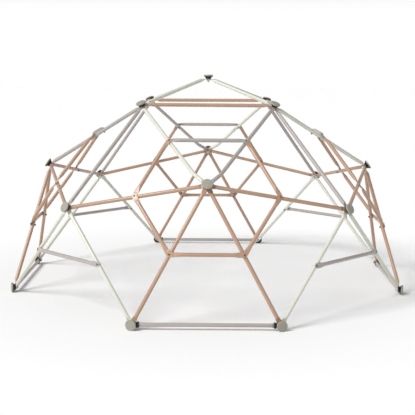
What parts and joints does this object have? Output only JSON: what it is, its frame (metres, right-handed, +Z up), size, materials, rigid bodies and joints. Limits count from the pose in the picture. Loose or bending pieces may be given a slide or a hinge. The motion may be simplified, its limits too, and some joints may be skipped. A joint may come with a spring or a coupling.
{
  "type": "dome climber",
  "caption": "Free-standing climbing dome of bent steel tubes with flattened ends, bolted together at round capped hubs, with short rungs bolted across the bars.",
  "frame": {"origin": "middle of the footprint, on the ground", "axes": "+Z up; -Y is the front side, +X the right side; each side has a hexagon with a ring of rungs"},
  "size_m": [2.8264, 2.8264, 1.5486],
  "materials": {
    "tube_copper": "powder coat, warm copper, satin",
    "tube_grey": "powder coat, taupe grey, satin",
    "tube_cream": "powder coat, pale cream, satin",
    "cap_plastic": "fine-textured moulded greige plastic",
    "hub_black": "fine-textured moulded black plastic",
    "zinc_steel": "bright zinc plating",
    "bolt_dark": "dark bronze plating"
  },
  "bodies": {
    "root": {"top_bar_front": "tube_copper", "top_bar_right": "tube_copper", "top_bar_back": "tube_copper", "top_bar_left": "tube_copper", "crown_bar_front_right": "tube_cream", "crown_bar_back_right": "tube_cream", "crown_bar_back_left": "tube_cream", "crown_bar_front_left": "tube_cream", "corner_bar_front_right": "tube_grey", "corner_bar_back_right": "tube_grey", "corner_bar_back_left": "tube_grey", "corner_bar_front_left": "tube_grey", "ground_bar_front": "tube_grey", "ground_bar_right": "tube_grey", "ground_bar_back": "tube_grey", "ground_bar_left": "tube_grey", "curved_bar_cream_front": "tube_cream", "curved_bar_cream_right": "tube_cream", "curved_bar_cream_back": "tube_cream", "curved_bar_cream_left": "tube_cream", "curved_bar_grey_front": "tube_grey", "curved_bar_grey_right": "tube_grey", "curved_bar_grey_back": "tube_grey", "curved_bar_grey_left": "tube_grey", "side_bars_front": "tube_copper", "side_bars_right": "tube_copper", "side_bars_back": "tube_copper", "side_bars_left": "tube_copper", "lower_bars_front": "tube_copper", "lower_bars_right": "tube_copper", "lower_bars_back": "tube_copper", "lower_bars_left": "tube_copper", "corner_legs_front_right": "tube_cream", "corner_legs_back_right": "tube_cream", "corner_legs_back_left": "tube_cream", "corner_legs_front_left": "tube_cream", "ring_rungs_front": "tube_copper", "ring_rungs_right": "tube_copper", "ring_rungs_back": "tube_copper", "ring_rungs_left": "tube_copper", "top_rung_front": "tube_grey", "top_rung_right": "tube_grey", "top_rung_back": "tube_grey", "top_rung_left": "tube_grey", "corner_rung_front_right": "tube_grey", "corner_rung_back_right": "tube_grey", "corner_rung_back_left": "tube_grey", "corner_rung_front_left": "tube_grey", "hub_caps": "cap_plastic", "foot_caps": "cap_plastic", "hub_bodies": "hub_black", "ground_sleeves": "hub_black", "hub_washers": "zinc_steel", "hub_bolts": "zinc_steel", "hub_nuts": "zinc_steel", "rung_bolts": "bolt_dark", "rung_nuts": "bolt_dark"}
  },
  "joints": []
}
